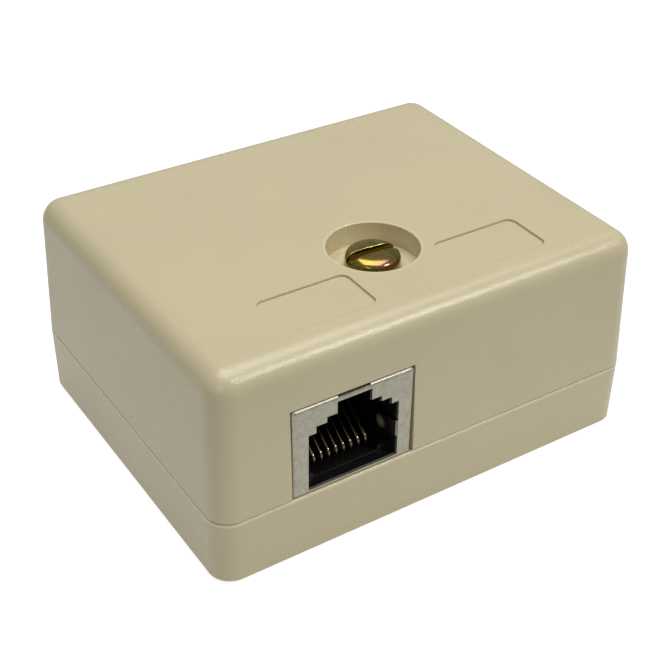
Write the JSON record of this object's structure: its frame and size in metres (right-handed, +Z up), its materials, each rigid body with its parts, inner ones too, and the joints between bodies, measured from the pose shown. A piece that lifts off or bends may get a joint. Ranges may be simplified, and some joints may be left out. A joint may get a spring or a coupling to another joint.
{
  "type": "surface mount jack box",
  "caption": "Low rectangular case with a shielded modular jack in its front, a screwed cover, wiring blocks and a cable clamp inside.",
  "frame": {"origin": "centre of the case's underside", "axes": "+X along the case's length, to the right seen from the front; +Y from the front face to the rear; +Z up from the wall face to the cover's roof"},
  "size_m": [0.06, 0.048, 0.0285],
  "materials": {
    "case_abs": "fine spark-eroded texture",
    "insert_brass": "turned",
    "board_laminate": "solder mask over woven glass laminate",
    "plated_steel": "bright zinc plate",
    "jack_thermoplastic": "moulded, smooth",
    "shield_plate": "satin nickel plate",
    "block_polycarbonate": "moulded, smooth",
    "screw_yellow_zinc": "yellow chromate over zinc",
    "contact_gilt": "gilt",
    "terminal_tin": "tin plate"
  },
  "bodies": {
    "case": {"base": "case_abs", "threaded_insert": "insert_brass", "circuit_board": "board_laminate", "board_screws": "plated_steel", "jack_housing": "jack_thermoplastic", "contact_carrier": "jack_thermoplastic", "jack_shield": "shield_plate", "contact_1": "contact_gilt", "contact_2": "contact_gilt", "contact_3": "contact_gilt", "contact_4": "contact_gilt", "contact_5": "contact_gilt", "contact_6": "contact_gilt", "contact_7": "contact_gilt", "contact_8": "contact_gilt", "front_idc_block": "block_polycarbonate", "rear_idc_block": "block_polycarbonate", "idc_terminal_1": "terminal_tin", "idc_terminal_2": "terminal_tin", "idc_terminal_3": "terminal_tin", "idc_terminal_4": "terminal_tin", "idc_terminal_5": "terminal_tin", "idc_terminal_6": "terminal_tin", "idc_terminal_7": "terminal_tin", "idc_terminal_8": "terminal_tin", "cable_clamp": "plated_steel", "clamp_screws": "plated_steel"},
    "cover": {"cover": "case_abs"},
    "screw": {"cover_screw": "screw_yellow_zinc"}
  },
  "joints": [
    {"name": "cover_lift", "type": "slide", "parent": "case", "child": "cover", "axis": [0, 0, 1], "range_m": [0, 0.03]},
    {"name": "screw_turn", "type": "hinge", "parent": "cover", "child": "screw", "pos_m": [0, -0.0089, 0.02565], "axis": [0, 0, 1], "continuous": true}
  ]
}
